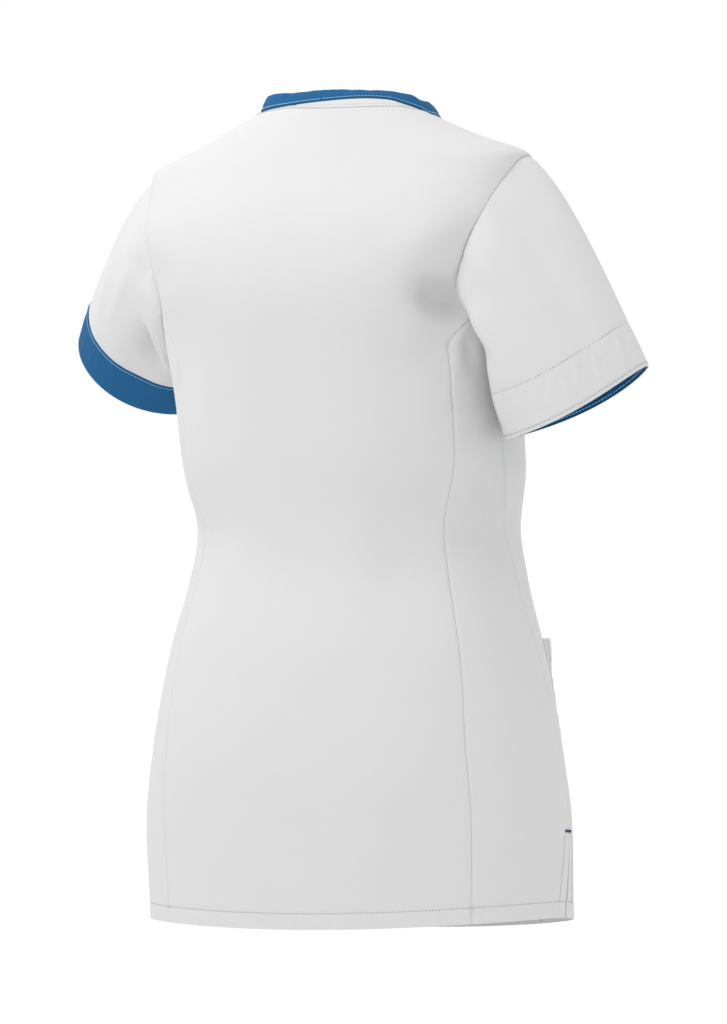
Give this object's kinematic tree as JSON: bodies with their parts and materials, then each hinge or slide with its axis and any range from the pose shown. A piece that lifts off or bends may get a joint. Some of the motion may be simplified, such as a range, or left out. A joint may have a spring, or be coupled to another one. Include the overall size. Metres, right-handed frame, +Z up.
{
  "type": "medical tunic",
  "caption": "Short-sleeved pull-on medical tunic in worn form, with princess panels, V neckband, contrast cuffs, front patch pockets and open side vents.",
  "frame": {"origin": "on the centre line between the shoulders, about level with the two side neck points and 22 mm in front of the line that joins them", "axes": "+Z up, -Y out of the garment's front, +X to the wearer's left"},
  "size_m": [0.6145, 0.284, 0.7572],
  "materials": {
    "white_cloth": "matt plain weave",
    "blue_cloth": "matt plain weave"
  },
  "bodies": {
    "root": {"back_centre": "white_cloth", "back_neck_strip": "white_cloth", "back_side_left": "white_cloth", "back_side_right": "white_cloth", "cuff_facing_right": "blue_cloth", "cuff_left": "blue_cloth", "front_centre": "white_cloth", "front_side_left": "white_cloth", "front_side_right": "white_cloth", "neckband": "blue_cloth", "pocket_left": "white_cloth", "pocket_right": "white_cloth", "sleeve_left": "white_cloth", "sleeve_right": "white_cloth"}
  },
  "joints": []
}
